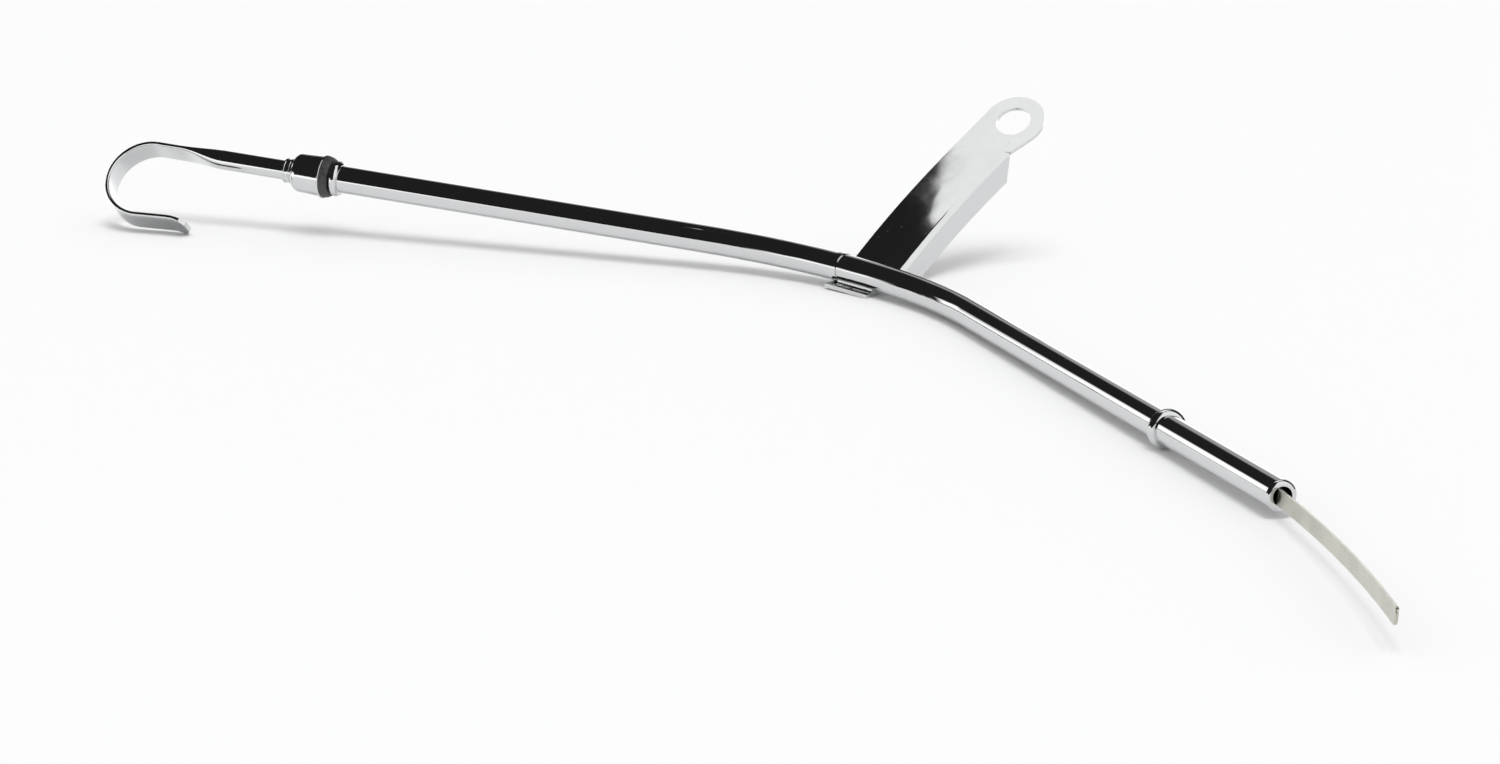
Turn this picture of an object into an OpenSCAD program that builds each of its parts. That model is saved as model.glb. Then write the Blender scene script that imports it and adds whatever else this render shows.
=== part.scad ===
// Engine oil dipstick seated in its bent guide tube, in millimetres.
// The part lies as it comes to rest on a floor: on the stop bead of the tube,
// on one corner of the bracket foot and on the lower leg of the pull hook.
// The origin is the spigot, on the tube axis just below the stop bead.

/* [Guide tube] */
// Outside diameter of the tube, 11/32 inch
tube_od = 8.73; // [8:0.01:10]
// Wall of the tube
tube_wall = 0.9; // [0.7:0.05:1.2]
// Tube between the head bead and the bend
head_straight = 124.3; // [90:0.1:200]
// Tube past the head bead, inside the cap
head_stub = 8; // [6:0.5:12]
// Centreline radius of the bend
bend_radius = 136.5; // [100:0.5:200]
// Turn of the bend
bend_angle = 50; // [20:1:90]
// Tube between the bend and its mouth
mouth_straight = 213.7; // [150:0.1:300]
// Hole left by the rolled-in mouth
mouth_hole = 5.5; // [5:0.1:6.5]
// Rounding of the mouth
mouth_round = 1.1; // [0.5:0.1:1.5]
// Outside diameter of both beads
bead_od = 11.4; // [10:0.1:13]
// Width of a bead
bead_width = 3; // [2:0.1:4]
// Stop bead before the mouth
stop_setback = 72.8; // [40:0.1:100]
// Step where the tube was held for brazing, before the middle of the bend
ring_setback = 8.6; // [6:0.1:12]
// Length and height of that step
ring_size = [2.2, 0.3];

/* [Bracket] */
// Sheet of the bracket
sheet = 1.2; // [1:0.1:2.5]
// Width of the strip with its flange
strip_width = 17.5; // [12:0.5:24]
// Foot in front of the tube centreline
foot_front = 5.7; // [4.5:0.1:8]
// Foot behind the tube centreline, before the fold
foot_back = 3; // [2:0.1:5]
// Place of the strip along the tube
strip_shift = -1; // [-6:0.1:6]
// Turn of the foot round the tube
foot_tilt = 5.6; // [0:0.1:15]
// Turn of the fold line from the tube
fold_yaw = 18.7; // [0:0.1:25]
// Skew of the strip across the fold line
fold_skew = 12.3; // [0:0.1:20]
// Inner radius of the fold
fold_radius = 6; // [3:0.5:10]
// Rise of the arm from the foot
fold_angle = 37.8; // [30:0.1:60]
// Straight run after the fold
arm_straight = 3; // [2:0.5:10]
// Length and turn of the sideways curve of the arm
arm_curve = 50; // [30:0.5:60]
arm_turn = 8.6; // [1:0.1:20]
// Straight run from the curve to the eye
eye_reach = 18.5; // [12:0.5:30]
// Eye centre, right of the strip centreline
eye_shift = 1; // [-2:0.1:2]
// Hole of the eye
eye_hole = 11; // [8:0.1:13]
// Outside diameter of the eye
eye_od = 19.9; // [18:0.1:26]
// Depth of the flange
flange_depth = 9.5; // [5:0.1:14]
// Outer radius of the flange bend
flange_radius = 2; // [1.6:0.1:4]
// Lower end of the flange along the arm, at the web and at full depth
flange_start = [4.5, 12];
// Upper end of the flange past the slow curve, at the web and at full depth
flange_reach = [8.5, 3.5];
// Radius of the braze fillets
braze_radius = 1; // [0.5:0.1:1.5]
// Half length of the braze along the tube
braze_half = 7.4; // [4:0.1:8]
// Gap between tube and foot, filled with braze
braze_gap = 0.05; // [0.05:0.05:0.3]

/* [Hook] */
// Outside diameter of the shank, 1/4 inch
shank_od = 6.35; // [5:0.05:8]
// Bore of the shank
shank_bore = 4.75; // [4.5:0.05:5.5]
// Round shank ends here, from the head bead
shank_end = 40; // [30:0.5:60]
// Length of the flattening
flatten_run = 14; // [8:0.5:20]
// Width and thickness of the flattened hook
hook_width = 9; // [7:0.1:11]
hook_thick = 1.4; // [1:0.1:2]
// Loop centre, from the head bead
loop_centre = 62.3; // [55:0.1:80]
// Middle radius of the loop
loop_radius = 12.9; // [8:0.1:20]
// Turn of the loop
loop_angle = 184; // [170:1:200]
// Straight part of the lower leg
leg_run = 11; // [8:0.5:25]
// Radius and turn of the tip of the leg
tip_radius = 12; // [6:0.5:30]
tip_angle = 14; // [5:1:40]
// Rounded end of the leg, also its corner radius
tip_round = 4.2; // [2:0.1:4.4]
// Lean of the hook from the plane of the tube
hook_lean = 37; // [0:0.5:60]

/* [Cap and seal] */
// Rim of the cap, from the head bead
cap_rim = 4.1; // [3:0.1:6]
// Diameter of the rim lip
lip_od = 13.9; // [12:0.1:18]
// Body diameter at the rim and at the shoulder
cap_od = [13.2, 12.5];
// Length of the cup
cap_length = 11; // [8:0.1:16]
// Rounding of the shoulder
cap_round = 2.8; // [1:0.1:4]
// Sheet of the cap
cap_wall = 0.6; // [0.4:0.1:1]
// Neck collar on the shank: diameter and length
neck_od = 8; // [7:0.1:10]
neck_length = 3.1; // [2:0.1:5]
// Rubber between the rim and the head bead: diameters at the rim, half way and at the bead
seal_nose = [13.5, 12.9, 11.6];
// Clearance of the rubber from the head bead
seal_gap = 0.05; // [0:0.05:0.3]
// Rubber above the end of the tube
seal_floor = 1.6; // [1:0.1:3]

/* [Blade] */
// Width and thickness of the blade
blade_width = 4.4; // [4:0.1:5]
blade_thick = 0.8; // [0.5:0.05:1]
// Blade inside the shank, past the end of the tube
blade_grip = 13; // [8:0.5:20]
// Offset from the axis after the bend, at its outer wall
blade_shift = 2.1; // [0:0.05:2.2]
// Offset from the axis at the mouth, and heading there
mouth_offset = -1.2; // [-1.3:0.05:1.3]
mouth_heading = 7.1; // [2:0.1:10]
// Radius and length of the free curve
free_radius = 740; // [400:10:2000]
free_run = 111; // [60:1:200]
// Straight tip and its corner radius
blade_tip = 4; // [2:0.5:8]
blade_corner = 1.4; // [0.3:0.1:2]
// Rivet through shank and blade: diameter, head diameter, head height
rivet_d = 2; // [1.5:0.1:3]
rivet_head = [3.4, 0.6];
// Rivet, past the end of the tube
rivet_reach = 4; // [3:0.5:8]

/* [Hidden] */
$fn = 72;
// Curved pieces of a chain are this much thinner and reach this far into the
// straight ones, so that each chain joins into one solid.
slip = 0.02;
lap = 0.3;
view_yaw = -45.62;
half = bend_angle / 2;
tube_r = tube_od / 2;
bore_r = tube_r - tube_wall;
stop_run = mouth_straight - stop_setback;
foot_top = -tube_r - braze_gap;
arm_radius = arm_curve / arm_turn * 180 / PI;
strip_half = strip_width / 2;
cross_radius = (blade_shift - mouth_offset) / (1 - cos(mouth_heading));
edge_r = hook_thick / 2;
seal_end = bead_width / 2 + seal_gap;
seal_plug = cap_od[0] / 2 - cap_wall - 2 * lap;

// Turns of a point about the axes, and the frames as functions.
function turn_z(p, a) = [p.x * cos(a) - p.y * sin(a), p.x * sin(a) + p.y * cos(a), p.z];
function turn_x(p, a) = [p.x, p.y * cos(a) - p.z * sin(a), p.y * sin(a) + p.z * cos(a)];
function unit(v) = v / norm(v);
function from_head(p) = turn_z([-head_straight - p.z, bend_radius + p.y, p.x], half);

// The three places where the part touches the floor.
stop_point = turn_z([stop_run, bend_radius, 0], -half);
arm_start = turn_z([strip_shift, foot_back + fold_radius * sin(fold_angle),
                    fold_radius * (1 - cos(fold_angle)) + foot_top], fold_yaw);
arm_side = turn_z(turn_x(turn_z([1, 0, 0], -fold_skew), fold_angle), fold_yaw);
foot_low = foot_top - sheet;
foot_x = (strip_half + arm_side * arm_start + arm_side.y * foot_front
          - arm_side.z * foot_low) / arm_side.x;
foot_point = turn_x([foot_x, -foot_front, foot_low], foot_tilt) + [0, bend_radius, 0];
loop_out = [-loop_radius + loop_radius * cos(loop_angle),
            loop_centre + loop_radius * sin(loop_angle)];
leg_out = loop_out + leg_run * [-sin(loop_angle), cos(loop_angle)];
tip_out = leg_out + tip_radius * [cos(loop_angle), sin(loop_angle)]
          - tip_radius * [cos(loop_angle - tip_angle), sin(loop_angle - tip_angle)];
tip_turn = loop_angle - tip_angle;
function edge_half(w) = sqrt(pow(edge_r, 2) - pow(max(0, w - hook_width / 2 + edge_r), 2));
function tip_point(x, y, w) = from_head(turn_z(
    [tip_out[0] + x * cos(tip_turn) - y * sin(tip_turn), w,
     tip_out[1] + x * sin(tip_turn) + y * cos(tip_turn)], hook_lean));
tip_corner = [for (a = [0:3:60], w = [hook_width / 2 - tip_round * (1 - cos(a))])
    tip_point(edge_half(w), tip_round * sin(a), w)];
function lowest(points, up) = let (d = [for (p = points) p * up]) points[search(min(d), d)[0]];
function rest_up(up, k) = k == 0 ? up :
    rest_up(unit(cross(foot_point - stop_point + bead_od / 2 * up,
                       lowest(tip_corner, up) - stop_point + bead_od / 2 * up)), k - 1);
up = rest_up([0, 0, 1], 6);
spigot = turn_z([stop_run + bead_width / 2, bend_radius, 0], -half);

// Frames: the rest pose, a place on the bend, the head and the mouth line.
module lay() rotate([0, 0, view_yaw]) rotate(a = acos(up.z), v = cross(up, [0, 0, 1]))
    translate(-spigot) children();
module at_turn(a) rotate([0, 0, a]) translate([0, bend_radius, 0]) children();
module at_head() at_turn(half) translate([-head_straight, 0, 0]) rotate([0, -90, 0]) children();
module at_bend_end() at_turn(-half) rotate([0, 90, 0]) children();
module foot_frame() at_turn(0) rotate([foot_tilt, 0, 0]) children();
module fold_frame() foot_frame() rotate([0, 0, fold_yaw])
    translate([0, foot_back, foot_top]) children();
module arm_frame() fold_frame()
    translate([strip_shift, fold_radius * sin(fold_angle), fold_radius * (1 - cos(fold_angle))])
    rotate([fold_angle, 0, 0]) rotate([0, 0, -fold_skew]) children();
module arm_end() arm_frame() translate([0, arm_straight, 0])
    translate([arm_radius * (1 - cos(arm_turn)), arm_radius * sin(arm_turn), 0])
    rotate([0, 0, -arm_turn]) children();
module eye_frame() arm_end() translate([eye_shift, eye_reach, 0]) children();

// Guide tube

module bead() rotate_extrude() {
    translate([bead_od / 2 - bead_width / 2, 0]) circle(d = bead_width);
    translate([bore_r, -bead_width / 2]) square([bead_od / 2 - bead_width / 2 - bore_r, bead_width]);
}

module tube_outside() {
    at_head() translate([0, 0, -head_straight]) cylinder(r = tube_r, h = head_straight + head_stub);
    rotate([0, 0, 90 - half]) rotate_extrude(angle = bend_angle)
        translate([bend_radius, 0]) circle(tube_r);
    at_bend_end() cylinder(r = tube_r, h = mouth_straight - mouth_round);
    at_head() bead();
    at_bend_end() translate([0, 0, stop_run]) bead();
    difference() {
        rotate([0, 0, 90 + (ring_setback - ring_size[0] / 2) / bend_radius * 180 / PI])
            rotate_extrude(angle = ring_size[0] / bend_radius * 180 / PI)
            translate([bend_radius, 0]) circle(tube_r + ring_size[1]);
        foot_sheet();
    }
}

module tube_inside() {
    at_head() translate([0, 0, -head_straight])
        cylinder(r = bore_r, h = head_straight + head_stub + 1);
    rotate([0, 0, 90 - half]) rotate_extrude(angle = bend_angle)
        translate([bend_radius, 0]) circle(bore_r);
    at_bend_end() cylinder(r = bore_r, h = mouth_straight - mouth_round);
}

module mouth_lip() rotate_extrude() {
    translate([mouth_hole / 2, 0]) square([tube_r - mouth_round - mouth_hole / 2, mouth_round]);
    translate([tube_r - mouth_round, 0]) intersection() {
        circle(mouth_round);
        square(mouth_round);
    }
}

module guide_tube() color("silver") lay() {
    difference() {
        tube_outside();
        tube_inside();
    }
    at_bend_end() translate([0, 0, mouth_straight - mouth_round]) mouth_lip();
}

// Bracket

module foot_profile() {
    translate([-25, -sheet]) square([25, sheet]);
    translate([0, fold_radius]) intersection() {
        difference() {
            circle(fold_radius + sheet - slip);
            circle(fold_radius + slip);
        }
        polygon([[0, 0], 30 * [-sin(1), -cos(1)], [20, -30],
                 30 * [sin(fold_angle + 1), -cos(fold_angle + 1)]]);
    }
    translate([fold_radius * sin(fold_angle), fold_radius * (1 - cos(fold_angle))])
        rotate(fold_angle) translate([0, -sheet]) square([12, sheet]);
}

module foot_sheet() fold_frame() translate([-30, 0, 0]) rotate([90, 0, 90])
    linear_extrude(60) foot_profile();

module foot_and_fold() intersection() {
    foot_sheet();
    arm_frame() translate([-strip_half, -40, -40]) cube([strip_width, 40 + arm_straight, 80]);
    foot_frame() translate([-30, -foot_front, -30]) cube(60);
}

// Web, bend and flange as one section: across the strip, then up.
module angle_section(i = 0) {
    translate([i - strip_half, i - sheet]) square([strip_width - flange_radius - i, sheet - 2 * i]);
    translate([strip_half - flange_radius, -flange_radius]) intersection() {
        difference() {
            circle(flange_radius - i);
            circle(flange_radius - sheet + i);
        }
        square(flange_radius);
    }
    translate([strip_half - sheet + i, i - flange_depth])
        square([sheet - 2 * i, flange_depth - flange_radius - i]);
}

module arm_bow() arm_frame() difference() {
    translate([arm_radius, arm_straight, 0]) rotate([0, 0, 180 - arm_turn])
        bend_piece(arm_radius, arm_turn) mirror([1, 0]) angle_section(slip);
    rotate([90, 0, 90]) linear_extrude(strip_width)
        polygon([[0, -flange_radius], [flange_start[0], -flange_radius],
                 [flange_start[1], -flange_depth], [flange_start[1], -flange_depth - 1],
                 [0, -flange_depth - 1]]);
}

function touch(p, c, r, side) = let (d = norm(p - c), b = side * acos(r / d), v = (p - c) / d)
    c + r * [v.x * cos(b) - v.y * sin(b), v.x * sin(b) + v.y * cos(b)];

module eye_plate() arm_end() translate([0, 0, -sheet]) linear_extrude(sheet) difference() {
    union() {
        translate([eye_shift, eye_reach]) circle(d = eye_od);
        polygon([[-strip_half, 0], [strip_half - flange_radius, 0],
                 [strip_half - flange_radius, flange_reach[0] - 1],
                 [strip_half, flange_reach[0]],
                 touch([strip_half, flange_reach[0]], [eye_shift, eye_reach], eye_od / 2, 1),
                 [eye_shift, eye_reach],
                 touch([-strip_half, 0], [eye_shift, eye_reach], eye_od / 2, -1)]);
    }
    translate([eye_shift, eye_reach]) circle(d = eye_hole);
}

module flange_end() arm_end() intersection() {
    translate([0, flange_reach[0], 0]) rotate([90, 0, 0]) linear_extrude(flange_reach[0])
        angle_section();
    rotate([90, 0, 90]) translate([0, 0, -strip_half]) linear_extrude(strip_width)
        polygon([[0, 0], [flange_reach[0], 0], [flange_reach[1], -flange_depth], [0, -flange_depth]]);
}

module bracket() color("silver") lay() {
    foot_and_fold();
    arm_bow();
    eye_plate();
    flange_end();
}

// Braze between tube and foot: two fillets along the tube.

module braze_section() {
    drop = -foot_top - braze_radius;
    reach = sqrt(pow(tube_r + braze_radius, 2) - drop * drop);
    difference() {
        translate([-reach, foot_top]) square([2 * reach, braze_radius * 1.6]);
        circle(tube_r);
        for (side = [-1, 1]) translate([side * reach, -drop]) circle(braze_radius);
        for (side = [-1, 1]) translate([side * reach - braze_radius, -drop])
            square([2 * braze_radius, braze_radius]);
    }
}

module bracket_braze() color("goldenrod") lay() difference() {
    turn = braze_half / bend_radius * 180 / PI;
    rotate([0, 0, 90 - turn]) rotate_extrude(angle = 2 * turn)
        translate([bend_radius, 0]) rotate(foot_tilt) braze_section();
    foot_sheet();
}

// Hook and shank: X is up in the plane of the hook, Z runs out along the shank.

module flat_section(i = 0) {
    square([hook_thick - 2 * i, hook_width - hook_thick], center = true);
    for (side = [-1, 1]) translate([0, side * (hook_width - hook_thick) / 2])
        circle(d = hook_thick - 2 * i);
}

// Part of a bend in the plane of the section, reaching into its neighbours.
module bend_piece(radius, turn) {
    more = lap / radius * 180 / PI;
    rotate([0, 0, -more]) rotate_extrude(angle = turn + 2 * more) translate([radius, 0])
        children();
}

module hook_tip() intersection() {
    rotate([-90, 0, 0]) linear_extrude(tip_round) flat_section();
    translate([-hook_thick, 0, 0]) rotate([90, 0, 90]) linear_extrude(2 * hook_thick) {
        for (side = [-1, 1]) translate([0, side * (hook_width / 2 - tip_round)]) circle(tip_round);
        translate([0, tip_round - hook_width / 2]) square([tip_round, hook_width - 2 * tip_round]);
    }
}

module hook_loop() translate([-loop_radius, 0, loop_centre]) rotate([90, 0, 0]) {
    bend_piece(loop_radius, loop_angle) flat_section(slip);
    rotate([0, 0, loop_angle]) translate([loop_radius, 0, 0]) {
        rotate([-90, 0, 0]) linear_extrude(leg_run) flat_section();
        translate([tip_radius, leg_run, 0]) rotate([0, 0, 180 - tip_angle]) {
            bend_piece(tip_radius, tip_angle) flat_section(slip);
            translate([tip_radius, 0, 0]) rotate([0, 0, 180]) hook_tip();
        }
    }
}

// Round shank eased into the flat hook: rings of points, thinner and wider step by step.
function ease(u) = u * u * (3 - 2 * u);
function mix(a, b, u) = a + (b - a) * u;
function flat_ring(t, w, z) = [for (j = [0:$fn - 1]) let (a = j * 360 / $fn)
    [t * cos(a), t * sin(a) + sign(sin(a)) * (w - t), z]];

module flattening(steps = 12) {
    rings = [for (i = [0:steps]) let (u = i / steps)
        flat_ring(mix(shank_od / 2 - slip, edge_r + slip, ease(u)),
                  mix(shank_od / 2 - slip, hook_width / 2 + slip, ease(u)),
                  mix(shank_end - lap / 3, shank_end + flatten_run, u))];
    polyhedron(points = [for (ring = rings) each ring], faces = concat(
        [[for (j = [0:$fn - 1]) j], [for (j = [$fn - 1:-1:0]) steps * $fn + j]],
        [for (i = [0:steps - 1], j = [0:$fn - 1]) let (a = i * $fn + j, b = i * $fn + (j + 1) % $fn)
            each [[a, a + $fn, b], [b, a + $fn, b + $fn]]]));
}

module shank_outside() {
    translate([0, 0, head_stub]) cylinder(d = shank_od, h = shank_end - head_stub);
    flattening();
    translate([0, 0, shank_end + flatten_run - lap / 3])
        linear_extrude(loop_centre - shank_end - flatten_run + lap / 3) flat_section();
}

module dipstick_handle() color("silver") lay() at_head() difference() {
    rotate([0, 0, hook_lean]) {
        shank_outside();
        hook_loop();
    }
    translate([0, 0, head_stub - 1]) cylinder(d = shank_bore, h = shank_end - head_stub);
    translate([0, 0, head_stub + rivet_reach]) rotate([90, 0, 0])
        cylinder(d = rivet_d, h = 2 * shank_od, center = true);
}

// Cap: a drawn cup with a rim lip and a neck collar, and the rubber in it.

module cup_shape(wall) {
    rim = cap_od[0] / 2 - wall;
    top = cap_od[1] / 2 - wall;
    corner = cap_round - wall;
    polygon([[0, 0], [rim, 0], [top, cap_length - cap_round], [top - corner, cap_length - cap_round],
             [top - corner, cap_length - wall], [0, cap_length - wall]]);
    translate([top - corner, cap_length - cap_round]) circle(corner);
}

module dipstick_cap() color("silver") lay() at_head() translate([0, 0, cap_rim])
    rotate_extrude() {
        difference() {
            cup_shape(0);
            cup_shape(cap_wall);
            translate([-1, -1]) square([1 + shank_od / 2, cap_length + 2]);
        }
        translate([cap_od[0] / 2 - cap_wall, 0])
            square([lip_od / 2 - cap_od[0] / 2 + cap_wall / 2, cap_wall]);
        translate([lip_od / 2 - cap_wall / 2, cap_wall / 2]) circle(d = cap_wall);
        translate([shank_od / 2, cap_length - cap_wall])
            square([(neck_od - shank_od) / 2 - 0.2, neck_length + cap_wall]);
        for (y = [0.9, neck_length - 0.5]) translate([neck_od / 2 - 0.4, cap_length + y])
            circle(0.4);
    }

module cap_seal() color("dimgray") lay() at_head() rotate_extrude() difference() {
    union() {
        intersection() {
            translate([0, cap_rim]) cup_shape(cap_wall);
            translate([0, cap_rim]) square([cap_od[0], head_stub + seal_floor - cap_rim]);
        }
        polygon([[0, seal_end], [seal_nose[2] / 2, seal_end],
                 [seal_nose[1] / 2, (seal_end + cap_rim) / 2], [seal_nose[0] / 2, cap_rim],
                 [seal_plug, cap_rim], [seal_plug, cap_rim + lap], [0, cap_rim + lap]]);
    }
    translate([-1, 0]) square([1 + shank_od / 2, 20]);
    square([tube_r, head_stub]);
}

// Blade: a chain of straights and arcs, running along X from the shank.

module strip_section(i = 0) square([blade_thick - 2 * i, blade_width - 2 * i], center = true);

module go(run) {
    rotate([90, 0, 90]) linear_extrude(run) strip_section();
    translate([run, 0, 0]) children();
}

module turn_right(radius, turn) {
    translate([0, -radius, 0]) rotate([0, 0, 90 - turn]) bend_piece(radius, turn)
        strip_section(slip);
    translate([radius * sin(turn), -radius * (1 - cos(turn)), 0]) rotate([0, 0, -turn]) children();
}

module blade_end() rotate([90, 0, 0]) linear_extrude(blade_thick, center = true) {
    translate([0, -blade_width / 2]) square([blade_tip - blade_corner, blade_width]);
    translate([0, blade_corner - blade_width / 2]) square([blade_tip, blade_width - 2 * blade_corner]);
    for (side = [-1, 1])
        translate([blade_tip - blade_corner, side * (blade_width / 2 - blade_corner)])
            circle(blade_corner);
}

module dipstick_blade() color("tan") lay() difference() {
    late = blade_shift / sin(bend_angle);
    at_turn(half) translate([-head_straight - head_stub - blade_grip, 0, 0])
        go(blade_grip + head_stub + head_straight + late)
        turn_right(bend_radius, bend_angle)
        go(mouth_straight - late * cos(bend_angle) - cross_radius * sin(mouth_heading))
        turn_right(cross_radius, mouth_heading)
        go(1)
        turn_right(free_radius, free_run / free_radius * 180 / PI)
        blade_end();
    at_head() translate([0, 0, head_stub + rivet_reach]) rotate([90, 0, 0])
        cylinder(d = rivet_d, h = 10, center = true);
}

module blade_rivet() color("gray") lay() at_head() translate([0, 0, head_stub + rivet_reach])
    rotate([90, 0, 0]) {
        cylinder(d = rivet_d, h = shank_od, center = true);
        for (side = [-1, 1]) translate([0, 0, side * (shank_od + rivet_head[1]) / 2])
            cylinder(d = rivet_head[0], h = rivet_head[1], center = true);
    }

guide_tube();
bracket();
bracket_braze();
dipstick_handle();
dipstick_cap();
cap_seal();
dipstick_blade();
blade_rivet();
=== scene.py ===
# Engine oil dipstick: chrome tube, hook, cap and bracket, satin blade, black rubber seal.
import math

import bpy
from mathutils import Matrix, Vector


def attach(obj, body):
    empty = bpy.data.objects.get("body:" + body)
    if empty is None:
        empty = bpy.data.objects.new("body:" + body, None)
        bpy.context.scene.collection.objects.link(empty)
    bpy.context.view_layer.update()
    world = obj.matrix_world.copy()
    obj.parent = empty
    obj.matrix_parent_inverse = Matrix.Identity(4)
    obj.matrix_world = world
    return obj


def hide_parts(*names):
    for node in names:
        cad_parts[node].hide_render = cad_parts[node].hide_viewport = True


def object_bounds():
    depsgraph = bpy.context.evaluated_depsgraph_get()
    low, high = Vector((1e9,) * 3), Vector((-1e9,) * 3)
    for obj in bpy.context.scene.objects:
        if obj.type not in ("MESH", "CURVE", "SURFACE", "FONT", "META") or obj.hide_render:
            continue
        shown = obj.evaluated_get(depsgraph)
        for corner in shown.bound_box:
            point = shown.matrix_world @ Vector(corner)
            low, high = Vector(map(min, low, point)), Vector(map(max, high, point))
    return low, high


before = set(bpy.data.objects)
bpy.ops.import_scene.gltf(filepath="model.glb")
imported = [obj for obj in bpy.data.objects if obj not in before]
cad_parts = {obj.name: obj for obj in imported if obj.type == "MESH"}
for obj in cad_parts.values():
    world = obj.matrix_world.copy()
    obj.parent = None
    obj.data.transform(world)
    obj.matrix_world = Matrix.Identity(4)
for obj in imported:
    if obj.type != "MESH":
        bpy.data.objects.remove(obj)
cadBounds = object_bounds()
scene = bpy.context.scene
floorHeight = cadBounds[0][2]
print("frame loaded:", len(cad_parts), "nodes")


# Camera: where the photograph was taken from

cameraSet = {
    "place": (-0.1126815, -1.3188, 0.352652),
    "tilt": 75.576,              # degrees, 90 looks level
    "lens": 121.865,             # mm
    "sensor": 36.0,              # mm
    "clip": (0.01, 50.0),        # metres
}


def placeCamera():
    data = bpy.data.cameras.new("photoCamera")
    data.lens = cameraSet["lens"]
    data.sensor_width = cameraSet["sensor"]
    data.sensor_fit = "HORIZONTAL"
    data.clip_start, data.clip_end = cameraSet["clip"]
    data.dof.use_dof = False
    camera = bpy.data.objects.new("photoCamera", data)
    camera.location = cameraSet["place"]
    camera.rotation_euler = (math.radians(cameraSet["tilt"]), 0.0, 0.0)
    scene.collection.objects.link(camera)
    scene.camera = camera


placeCamera()
print("camera placed")


# Materials

# The sockets of a mix node that carry its two colours and their mixture
mixFirst, mixSecond, mixResult = 6, 7, 2


def newMaterial(name):
    material = bpy.data.materials.new(name)
    material.use_nodes = True
    tree = material.node_tree
    return material, tree, tree.nodes["Principled BSDF"]


def addNode(tree, kind, inputs=None, **settings):
    node = tree.nodes.new(kind)
    for key, value in settings.items():
        setattr(node, key, value)
    for key, value in (inputs or {}).items():
        if isinstance(value, bpy.types.NodeSocket):
            tree.links.new(value, node.inputs[key])
        else:
            node.inputs[key].default_value = value
    return node


def mathNode(tree, operation, first, second):
    return addNode(tree, "ShaderNodeMath", {0: first, 1: second}, operation=operation).outputs[0]


def softRamp(tree, value, low, high, fromValue=0.0, toValue=1.0):
    # A value between two limits, brought smoothly from one number to another
    return addNode(tree, "ShaderNodeMapRange", {
        "Value": value, "From Min": low, "From Max": high,
        "To Min": fromValue, "To Max": toValue,
    }, interpolation_type="SMOOTHSTEP").outputs["Result"]


def noiseNode(tree, place, scale, detail, **moreInputs):
    inputs = {"Vector": place, "Scale": scale, "Detail": detail}
    return addNode(tree, "ShaderNodeTexNoise", {**inputs, **moreInputs}).outputs["Fac"]


def blendColours(tree, share, colours):
    blend = addNode(tree, "ShaderNodeMix", {"Factor": share}, data_type="RGBA")
    blend.inputs[mixFirst].default_value, blend.inputs[mixSecond].default_value = colours
    return blend.outputs[mixResult]


def bumpNode(tree, height, depth, **moreInputs):
    inputs = {"Height": height, "Strength": 1.0, "Distance": depth}
    return addNode(tree, "ShaderNodeBump", {**inputs, **moreInputs}).outputs["Normal"]


chromeSet = {
    "colour": (0.66, 0.665, 0.67, 1.0),
    "roughness": (0.03, 0.09),   # clean plate, and the faint haze of handling
    "hazeScale": 38.0,
    "hazeDetail": 4.0,
    "hazeGrain": 0.6,
    "hazeRange": (0.45, 0.75),   # where in the noise the haze starts and is full
    "rippleScale": 150.0,        # long shallow ripple under the plate
    "rippleDetail": 1.0,
    "rippleDepth": 0.000006,
    "pitScale": 2400.0,          # fine grain of the plate
    "pitDetail": 2.0,
    "pitDepth": 0.0000006,
    "speckScale": 420.0,         # dust and handling marks, few and small
    "speckRange": (0.03, 0.07),  # full and faded, in distance from a speck's middle
    "speckRoughness": 0.4,
}


def makeChrome():
    material, tree, shader = newMaterial("chromePlate")
    place = addNode(tree, "ShaderNodeTexCoord").outputs["Object"]
    haze = noiseNode(tree, place, chromeSet["hazeScale"], chromeSet["hazeDetail"],
                     Roughness=chromeSet["hazeGrain"])
    ripple = noiseNode(tree, place, chromeSet["rippleScale"], chromeSet["rippleDetail"])
    pits = noiseNode(tree, place, chromeSet["pitScale"], chromeSet["pitDetail"])
    shader.inputs["Base Color"].default_value = chromeSet["colour"]
    shader.inputs["Metallic"].default_value = 1.0
    specks = addNode(tree, "ShaderNodeTexVoronoi", {
        "Vector": place, "Scale": chromeSet["speckScale"]}, feature="F1").outputs["Distance"]
    clean = softRamp(tree, haze, *chromeSet["hazeRange"], *chromeSet["roughness"])
    speck = softRamp(tree, specks, *chromeSet["speckRange"], chromeSet["speckRoughness"], 0.0)
    tree.links.new(mathNode(tree, "MAXIMUM", clean, speck), shader.inputs["Roughness"])
    rippled = bumpNode(tree, ripple, chromeSet["rippleDepth"])
    pitted = bumpNode(tree, pits, chromeSet["pitDepth"], Normal=rippled)
    tree.links.new(pitted, shader.inputs["Normal"])
    return material


bladeSet = {
    "colour": ((0.48, 0.47, 0.41, 1.0), (0.56, 0.55, 0.48, 1.0)),
    "roughness": (0.2, 0.3),
    "heading": 64.0,             # degrees, the way the grain runs
    "grainAlong": 60.0,
    "grainAcross": 5000.0,
    "grainDetail": 3.0,
    "grainRange": (0.3, 0.7),
    "grainDepth": 0.000002,
    "cloudScale": 90.0,
    "cloudDetail": 3.0,
    "cloudRange": (0.35, 0.65),
}


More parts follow.
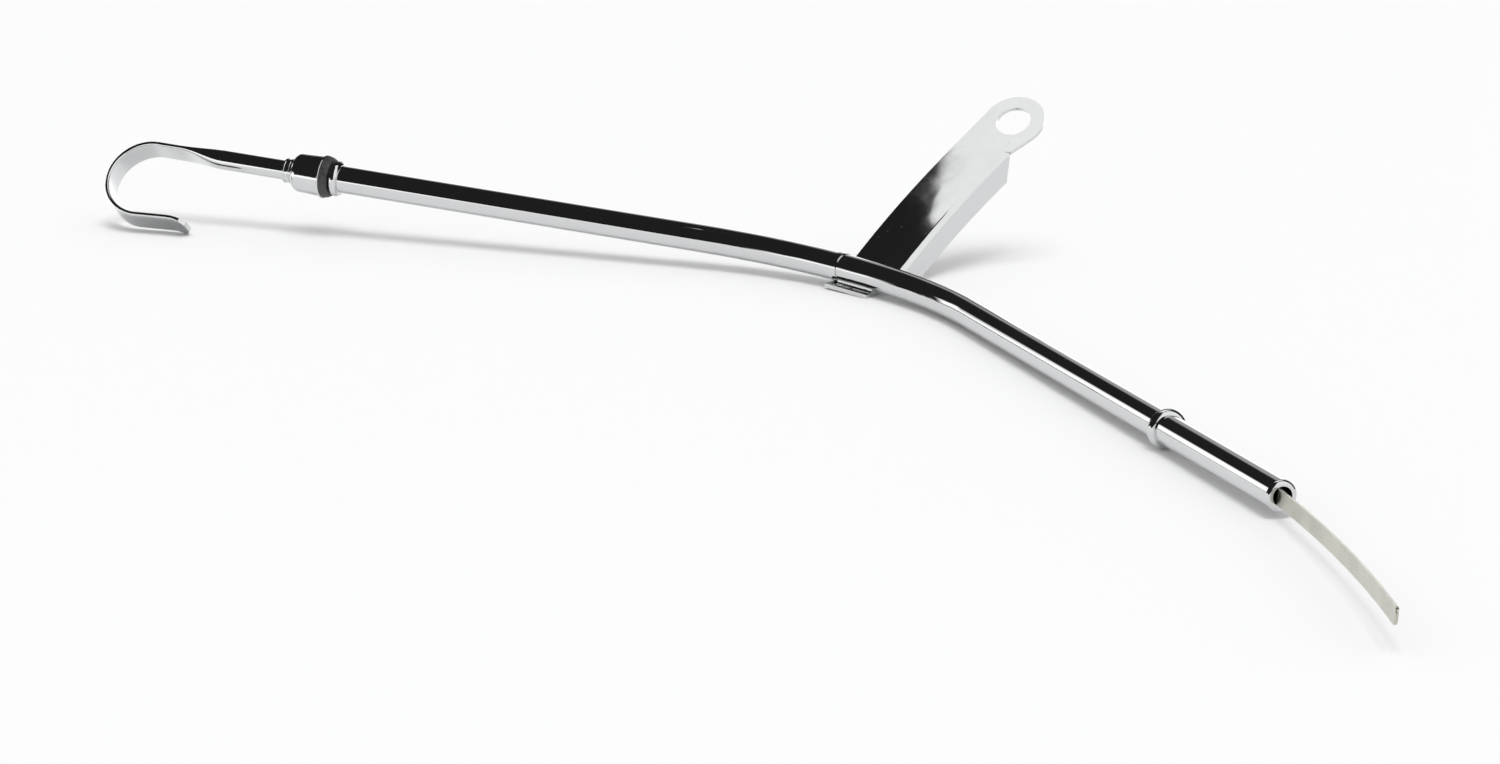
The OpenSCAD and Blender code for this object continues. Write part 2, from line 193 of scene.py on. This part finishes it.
def makeBladeSteel():
    material, tree, shader = newMaterial("bladeSteel")
    place = addNode(tree, "ShaderNodeTexCoord").outputs["Object"]
    # The rolling grain runs along the blade, so the pattern is long one way and fine the other
    turned = addNode(tree, "ShaderNodeMapping", {
        "Vector": place, "Rotation": (0.0, 0.0, math.radians(bladeSet["heading"])),
        "Scale": (bladeSet["grainAlong"], bladeSet["grainAcross"], bladeSet["grainAcross"])})
    grain = noiseNode(tree, turned.outputs["Vector"], 1.0, bladeSet["grainDetail"])
    cloud = noiseNode(tree, place, bladeSet["cloudScale"], bladeSet["cloudDetail"])
    share = softRamp(tree, cloud, *bladeSet["cloudRange"])
    tree.links.new(blendColours(tree, share, bladeSet["colour"]), shader.inputs["Base Color"])
    shader.inputs["Metallic"].default_value = 1.0
    rough = softRamp(tree, grain, *bladeSet["grainRange"], *bladeSet["roughness"])
    tree.links.new(rough, shader.inputs["Roughness"])
    tree.links.new(bumpNode(tree, grain, bladeSet["grainDepth"]), shader.inputs["Normal"])
    return material


rubberSet = {
    "colour": ((0.028, 0.0285, 0.028, 1.0), (0.052, 0.053, 0.051, 1.0)),
    "roughness": (0.42, 0.55),
    "grainScale": 900.0,
    "grainDetail": 4.0,
    "grainRange": (0.3, 0.7),
    "grainDepth": 0.00001,
}


def makeRubber():
    material, tree, shader = newMaterial("sealRubber")
    place = addNode(tree, "ShaderNodeTexCoord").outputs["Object"]
    grain = noiseNode(tree, place, rubberSet["grainScale"], rubberSet["grainDetail"])
    share = softRamp(tree, grain, *rubberSet["grainRange"])
    tree.links.new(blendColours(tree, share, rubberSet["colour"]), shader.inputs["Base Color"])
    rough = softRamp(tree, grain, *rubberSet["grainRange"], *rubberSet["roughness"])
    tree.links.new(rough, shader.inputs["Roughness"])
    tree.links.new(bumpNode(tree, grain, rubberSet["grainDepth"]), shader.inputs["Normal"])
    return material


chrome = makeChrome()
bladeSteel = makeBladeSteel()
rubber = makeRubber()
print("materials made")


# Pieces: the CAD solids, joined up so that they shade as one smooth surface

# For each: name, material, slot, smoothing angle in degrees, the distance in mm
# within which points are joined, and the rounding of its cut edges in mm
pieceSet = {
    "guide_tube": ("tubeSkin", chrome, "chrome", 30.0, 0.0005, 0.0),
    "bracket": ("bracketSkin", chrome, "chrome", 35.0, 0.045, 0.22),
    "bracket_braze": ("brazeSkin", chrome, "chrome", 50.0, 0.0005, 0.0),
    "dipstick_handle": ("handleSkin", chrome, "chrome", 25.0, 0.0005, 0.0),
    "dipstick_cap": ("capSkin", chrome, "chrome", 30.0, 0.0005, 0.0),
    "cap_seal": ("sealSkin", rubber, "seal_rubber", 30.0, 0.0005, 0.0),
    "dipstick_blade": ("bladeSkin", bladeSteel, "blade_steel", 35.0, 0.002, 0.15),
    "blade_rivet": ("rivetSkin", bladeSteel, "blade_steel", 25.0, 0.0005, 0.0),
}

# How every copy is finished
finishSet = {
    "flatAngle": 0.4,            # degrees, faces that turn less than this become one
    "cutAngle": 40.0,            # degrees, edges that turn more than this are rounded
    "roundingSteps": 3,
    "areaLead": 100,             # how far large faces lead the shading, 50 is neutral
}


def deselectAll():
    for thing in bpy.context.selected_objects:
        thing.select_set(False)


def makeActive(thing):
    deselectAll()
    thing.select_set(True)
    bpy.context.view_layer.objects.active = thing


# The bracket's arm: where it starts, its three directions, and its sizes in mm.
# The web is flat and bows sideways; the flange hangs from it round a small bend.
armSet = {
    "start": (-0.0763886, 0.1910009, -0.0028354),
    "across": (0.789894, -0.589699, -0.168295),
    "along": (0.556431, 0.573835, 0.600914),
    "up": (-0.257785, -0.568303, 0.781396),
    "bowStart": 3.0,
    "bowRadius": 333.1150,
    "bowTurn": 8.6,              # degrees
    "bowSlices": 12,
    "halfWidth": 8.75,
    "sheet": 1.2,
    "bendRadius": 2.0,
    "bendSlices": 9,
    "reach": 0.12,               # points this near to a true surface are put on it
    "outerShare": 0.75,          # share of the sheet, counted from outside, that is its outside
    "bowEnd": 0.0004,            # radians at each end of the bow that are left as they are
    "armRoom": 26.25,            # points further off than this belong to other forms
    "flangeLean": 0.03,          # faces that lean less than this stand square to the web
    "webLean": 0.999,            # and faces that lean more than this are the web
}


def armAxes():
    return [Vector(armSet[name]).normalized() for name in ("across", "along", "up")]


def cutAcross(point, normal):
    bpy.ops.mesh.select_all(action="SELECT")
    bpy.ops.mesh.bisect(plane_co=point, plane_no=normal, use_fill=False)


def sliceArm():
    # Even slices along the bow and round the bend, so that both come out truly round
    across, along, up = armAxes()
    start = Vector(armSet["start"])
    for i in range(1, armSet["bowSlices"]):
        turn = math.radians(armSet["bowTurn"]) * i / armSet["bowSlices"]
        reach = armSet["bowRadius"] * math.sin(turn)
        side = armSet["bowRadius"] * (1 - math.cos(turn))
        point = start + (across * side + along * (armSet["bowStart"] + reach)) / 1000
        cutAcross(point, along * math.cos(turn) + across * math.sin(turn))
    for i in range(1, armSet["bendSlices"]):
        rise = armSet["bendRadius"] * (math.sin(math.pi / 2 * i / armSet["bendSlices"]) - 1)
        cutAcross(start + up * rise / 1000, up)


def nearest(value, targets):
    best = min(targets, key=lambda target: abs(value - target))
    return best if abs(value - best) < armSet["reach"] else value


def trueUp(piece):
    # Every point of the bow goes onto the true web, bend or flange
    across, along, up = armAxes()
    start = Vector(armSet["start"])
    radius, bend = armSet["bowRadius"], armSet["bendRadius"]
    sheet, half = armSet["sheet"], armSet["halfWidth"]
    room, first = armSet["armRoom"], armSet["bowEnd"]
    last = math.radians(armSet["bowTurn"]) - first
    for vertex in piece.data.vertices:
        place = (vertex.co - start) * 1000
        x, y, z = place.dot(across), place.dot(along) - armSet["bowStart"], place.dot(up)
        turn = math.atan2(y, radius - x)
        if turn < first or turn > last or abs(x) > room or abs(z) > room:
            continue
        side = radius - math.hypot(radius - x, y)
        toSide, toTop = side - half + bend, z + bend
        if toSide > 0 and toTop > 0:
            reach = math.hypot(toSide, toTop)
            outside = reach > bend - sheet * armSet["outerShare"]
            onto = (bend if outside else bend - sheet) / reach
            side, z = half - bend + toSide * onto, -bend + toTop * onto
        else:
            side = nearest(side, (-half, half - sheet, half))
            if toSide <= 0:
                z = nearest(z, (-sheet, 0.0))
        x, y = radius - (radius - side) * math.cos(turn), (radius - side) * math.sin(turn)
        vertex.co = start + (across * x + along * (y + armSet["bowStart"]) + up * z) / 1000


def joinPoints(joining):
    bpy.ops.mesh.select_all(action="SELECT")
    bpy.ops.mesh.remove_doubles(threshold=joining / 1000)


def smoothCopy(node, name, material, slotName, angle, joining, rounding):
    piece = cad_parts[node].copy()
    piece.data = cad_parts[node].data.copy()
    piece.name = name
    piece.data.name = name
    piece.parent = None
    scene.collection.objects.link(piece)
    makeActive(piece)
    bpy.ops.object.mode_set(mode="EDIT")
    joinPoints(joining)
    if node == "bracket":
        # The arm's bow comes out of the CAD in coarse steps
        sliceArm()
        bpy.ops.object.mode_set(mode="OBJECT")
        trueUp(piece)
        bpy.ops.object.mode_set(mode="EDIT")
        joinPoints(joining)
    if rounding:
        bpy.ops.mesh.dissolve_limited(angle_limit=math.radians(finishSet["flatAngle"]))
    bpy.ops.object.mode_set(mode="OBJECT")
    if piece.data.has_custom_normals:
        bpy.ops.mesh.customdata_custom_splitnormals_clear()
    piece.data.materials.clear()
    piece.data.materials.append(material)
    if rounding:
        soften = piece.modifiers.new("softenEdges", "BEVEL")
        soften.width = rounding / 1000
        soften.segments = finishSet["roundingSteps"]
        soften.limit_method = "ANGLE"
        soften.angle_limit = math.radians(finishSet["cutAngle"])
        bpy.ops.object.modifier_apply(modifier=soften.name)
    bpy.ops.object.shade_smooth_by_angle(angle=math.radians(angle))
    # Large faces lead the shading, so flat sheet mirrors as flat sheet
    weigh = piece.modifiers.new("weighNormals", "WEIGHTED_NORMAL")
    weigh.mode = "FACE_AREA"
    weigh.weight = finishSet["areaLead"]
    weigh.keep_sharp = True
    bpy.ops.object.modifier_apply(modifier=weigh.name)
    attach(piece, "root")
    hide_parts(node)
    return piece


def squareUp(piece):
    # The flange stands square to the web along its whole curve, so its shading does too
    mesh = piece.data
    up = Vector(armSet["up"]).normalized()
    normals = [corner.vector.copy() for corner in mesh.corner_normals]
    for face in mesh.polygons:
        lean = face.normal.dot(up)
        for loop in face.loop_indices:
            if abs(lean) < armSet["flangeLean"]:
                normals[loop] = (normals[loop] - up * normals[loop].dot(up)).normalized()
            elif abs(lean) > armSet["webLean"]:
                normals[loop] = up * math.copysign(1.0, lean)
    mesh.normals_split_custom_set(normals)


pieces = {node: smoothCopy(node, *given) for node, given in pieceSet.items()}
squareUp(pieces["bracket"])
print("pieces made:", len(pieces))


# Studio: pale floor, soft lamp overhead, and what the chrome mirrors

studioSet = {
    "floorColour": (0.965, 0.967, 0.97, 1.0),
    "floorRoughness": 0.9,
    "floorSheen": 0.1,
    "floorSize": 8.0,            # metres
    "ambient": 0.64,
    "sunStrength": 1.27,
    "sunSpread": 32.0,           # degrees across, for soft shadows
    "sunTilt": (18.0, 4.0),      # degrees, the lamp leans to the camera and to the right
    "farGlow": 0.55,             # extra light of the far floor, in the chrome only
    "farGlowBack": (0.28, 0.4),  # where it starts and is full behind the part, in metres
    "farGlowLeft": (0.3, 0.38),  # and the same to the left of it
}

# What the chrome mirrors: a dark room with bright openings. Each has its compass
# range (degrees, 0 behind the part, 90 on its left, 180 at the camera), its range of
# heights (degrees), how far both fade at their ends (degrees), and its brightness.
mirrorSet = {
    "dark": 0.018,
    "openings": {
        "backdrop": ((-38.0, 7.0), (-6.0, 15.0), (3.0, 4.0), 1.45),
        "backdropGlow": ((-40.0, 7.0), (-6.0, 33.0), (4.0, 8.0), 0.42),
        "sideWindow": ((42.0, 55.0), (1.5, 15.5), (2.5, 2.0), 1.5),
        "leftWall": ((82.0, 121.0), (-3.0, 7.0), (8.0, 3.0), 1.5),
        "rightWall": ((-165.0, -98.0), (-3.0, 66.0), (8.0, 6.0), 1.15),
        "floorLine": ((-200.0, 200.0), (-30.0, -3.0), (1.0, 3.0), 0.9),
    },
}

# A lamp panel overhead that only the chrome sees, by its four corners in metres
panelSet = {
    "height": 0.64,
    "corners": ((-0.290, 0.298), (0.08, -0.17), (-0.240, 0.373), (0.4, 0.373)),
    "level": 1.18,
}


def makeFloor():
    size = studioSet["floorSize"]
    bpy.ops.mesh.primitive_plane_add(size=size, location=(0.0, 0.0, floorHeight))
    floor = bpy.context.active_object
    floor.name = "studioFloor"
    material, tree, shader = newMaterial("studioFloorPaper")
    shader.inputs["Base Color"].default_value = studioSet["floorColour"]
    shader.inputs["Roughness"].default_value = studioSet["floorRoughness"]
    shader.inputs["Specular IOR Level"].default_value = studioSet["floorSheen"]
    place = addNode(tree, "ShaderNodeNewGeometry").outputs["Position"]
    parts = addNode(tree, "ShaderNodeSeparateXYZ", {"Vector": place})
    back = softRamp(tree, parts.outputs["Y"], *studioSet["farGlowBack"])
    toLeft = mathNode(tree, "MULTIPLY", parts.outputs["X"], -1.0)
    left = softRamp(tree, toLeft, *studioSet["farGlowLeft"])
    glow = mathNode(tree, "MULTIPLY", mathNode(tree, "MAXIMUM", back, left), studioSet["farGlow"])
    seen = addNode(tree, "ShaderNodeLightPath").outputs["Is Glossy Ray"]
    tree.links.new(mathNode(tree, "MULTIPLY", glow, seen), shader.inputs["Emission Strength"])
    floor.data.materials.append(material)


def makePanel():
    bpy.ops.mesh.primitive_plane_add(size=1.0, location=(0.0, 0.0, 0.0))
    panel = bpy.context.active_object
    panel.name = "lampPanel"
    for vertex, (x, y) in zip(panel.data.vertices, panelSet["corners"]):
        vertex.co = (x, y, panelSet["height"])
    material, tree, shader = newMaterial("lampPanelGlow")
    tree.nodes.remove(shader)
    glow = addNode(tree, "ShaderNodeEmission", {
        "Color": (1.0, 1.0, 1.0, 1.0), "Strength": panelSet["level"]})
    tree.links.new(glow.outputs["Emission"], tree.nodes["Material Output"].inputs["Surface"])
    panel.data.materials.append(material)
    panel.visible_camera = False
    panel.visible_diffuse = False
    panel.visible_shadow = False


def makeSun():
    data = bpy.data.lights.new("overheadLamp", "SUN")
    data.energy = studioSet["sunStrength"]
    data.angle = math.radians(studioSet["sunSpread"])
    lamp = bpy.data.objects.new("overheadLamp", data)
    toCamera, toSide = studioSet["sunTilt"]
    lamp.rotation_euler = (math.radians(toCamera), math.radians(toSide), 0.0)
    lamp.visible_glossy = False
    scene.collection.objects.link(lamp)


def fadeWindow(tree, window, value, limits, fade):
    # The window darkens softly where the value leaves its limits
    low, high = limits
    window = mathNode(tree, "MULTIPLY", window, softRamp(tree, value, low - fade, low + fade))
    after = softRamp(tree, value, high - fade, high + fade, 1.0, 0.0)
    return mathNode(tree, "MULTIPLY", window, after)


def makeWorld():
    world = bpy.data.worlds.new("studioWorld")
    scene.world = world
    world.use_nodes = True
    tree = world.node_tree
    tree.nodes.clear()
    direction = addNode(tree, "ShaderNodeTexCoord").outputs["Generated"]
    parts = addNode(tree, "ShaderNodeSeparateXYZ", {"Vector": direction})
    toRight, toBack, up = parts.outputs
    rise = mathNode(tree, "MULTIPLY", mathNode(tree, "ARCSINE", up, 0.0), math.degrees(1.0))
    toLeft = mathNode(tree, "MULTIPLY", toRight, -1.0)
    turn = mathNode(tree, "ARCTAN2", toLeft, toBack)
    turn = mathNode(tree, "MULTIPLY", turn, math.degrees(1.0))
    mirrored = mirrorSet["dark"]
    for compass, heights, (turnFade, riseFade), brightness in mirrorSet["openings"].values():
        window = fadeWindow(tree, 1.0, turn, compass, turnFade)
        window = fadeWindow(tree, window, rise, heights, riseFade)
        lit = mathNode(tree, "MULTIPLY", window, brightness)
        mirrored = mathNode(tree, "MAXIMUM", mirrored, lit)
    seen = addNode(tree, "ShaderNodeLightPath")
    mirror = mathNode(tree, "MAXIMUM", seen.outputs["Is Glossy Ray"],
                      seen.outputs["Is Transmission Ray"])
    level = addNode(tree, "ShaderNodeMix", {
        "Factor": mirror, "A": studioSet["ambient"], "B": mirrored})
    final = addNode(tree, "ShaderNodeMix", {
        "Factor": seen.outputs["Is Camera Ray"], "A": level.outputs["Result"], "B": 1.0})
    background = addNode(tree, "ShaderNodeBackground", {
        "Color": (1.0, 1.0, 1.0, 1.0), "Strength": final.outputs["Result"]})
    output = addNode(tree, "ShaderNodeOutputWorld")
    tree.links.new(background.outputs["Background"], output.inputs["Surface"])


makeFloor()
makePanel()
makeSun()
makeWorld()
scene.view_settings.view_transform = "Standard"
print("studio made")
